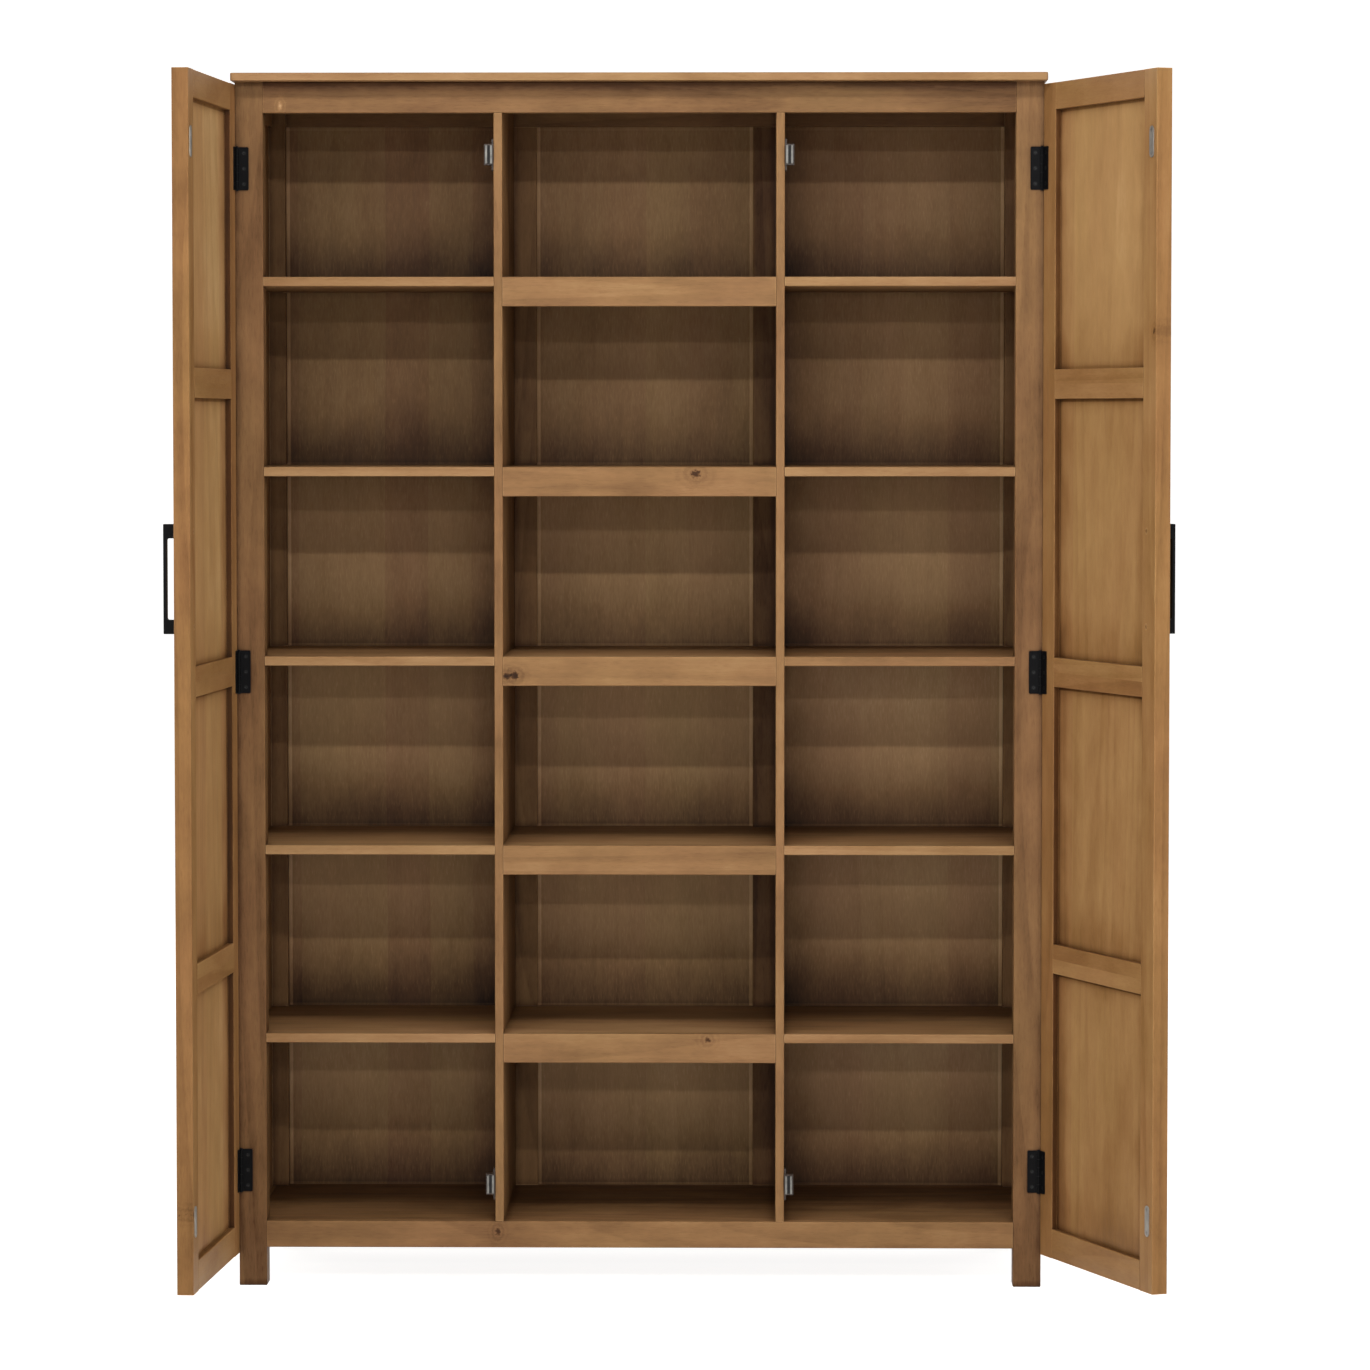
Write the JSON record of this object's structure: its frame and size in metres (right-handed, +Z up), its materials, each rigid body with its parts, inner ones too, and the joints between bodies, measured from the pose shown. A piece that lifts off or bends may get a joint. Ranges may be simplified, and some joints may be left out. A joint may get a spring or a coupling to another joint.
{
  "type": "cabinet",
  "caption": "Tall free-standing wooden cabinet with shelved bays, framed panel doors over the outer bays, an open middle bay, bar pulls and magnetic catches.",
  "frame": {"origin": "on the floor, midway between the four posts", "axes": "+X to the right of someone facing the front, +Y to the back, +Z up"},
  "size_m": [1.4482, 0.804, 1.82],
  "materials": {
    "frame_wood": "satin stained and oiled",
    "shelf_wood": "satin stained and oiled",
    "panel_wood": "satin stained and oiled",
    "door_wood": "satin stained and oiled",
    "black_metal": "satin black coating",
    "bright_steel": "zinc plated",
    "catch_plastic": "moulded",
    "magnet": "fired ferrite"
  },
  "bodies": {
    "carcass": {"top_board": "frame_wood", "front_top_rail": "frame_wood", "front_bottom_rail": "frame_wood", "rear_top_rail": "frame_wood", "rear_bottom_rail": "frame_wood", "floor_board": "frame_wood", "front_left_post": "frame_wood", "front_right_post": "frame_wood", "rear_left_post": "frame_wood", "rear_right_post": "frame_wood", "left_side_top_rail": "frame_wood", "left_side_bottom_rail": "frame_wood", "left_back_muntin": "frame_wood", "left_divider": "frame_wood", "right_side_top_rail": "frame_wood", "right_side_bottom_rail": "frame_wood", "right_back_muntin": "frame_wood", "right_divider": "frame_wood", "centre_rail_1": "frame_wood", "centre_rail_2": "frame_wood", "centre_rail_3": "frame_wood", "centre_rail_4": "frame_wood", "centre_rail_5": "frame_wood", "left_shelves": "shelf_wood", "centre_shelves": "shelf_wood", "right_shelves": "shelf_wood", "left_side_panel": "panel_wood", "right_side_panel": "panel_wood", "left_back_panel": "panel_wood", "centre_back_panel": "panel_wood", "right_back_panel": "panel_wood", "hinge_frame_leaves": "black_metal", "hinge_pins": "black_metal", "catch_housings": "catch_plastic", "catch_pole_plates": "bright_steel", "catch_magnets": "magnet", "carcass_screws": "bright_steel"},
    "left_door": {"left_door_hinge_stile": "door_wood", "left_door_free_stile": "door_wood", "left_door_bottom_rail": "door_wood", "left_door_mid_rails": "door_wood", "left_door_top_rail": "door_wood", "left_door_panels": "panel_wood", "left_door_handle": "black_metal", "left_door_handle_screws": "bright_steel", "left_door_hinge_leaves": "black_metal", "left_door_strike_plates": "bright_steel", "left_door_screws": "bright_steel"},
    "right_door": {"right_door_hinge_stile": "door_wood", "right_door_free_stile": "door_wood", "right_door_bottom_rail": "door_wood", "right_door_mid_rails": "door_wood", "right_door_top_rail": "door_wood", "right_door_panels": "panel_wood", "right_door_handle": "black_metal", "right_door_handle_screws": "bright_steel", "right_door_hinge_leaves": "black_metal", "right_door_strike_plates": "bright_steel", "right_door_screws": "bright_steel"}
  },
  "joints": [
    {"name": "left_door_hinge", "type": "hinge", "parent": "carcass", "child": "left_door", "pos_m": [-0.6004, -0.2078, 0.927], "axis": [0, 0, -1], "range_deg": [-94, 26]},
    {"name": "right_door_hinge", "type": "hinge", "parent": "carcass", "child": "right_door", "pos_m": [0.6004, -0.2078, 0.927], "axis": [0, 0, 1], "range_deg": [-111.1, 8.9]}
  ]
}
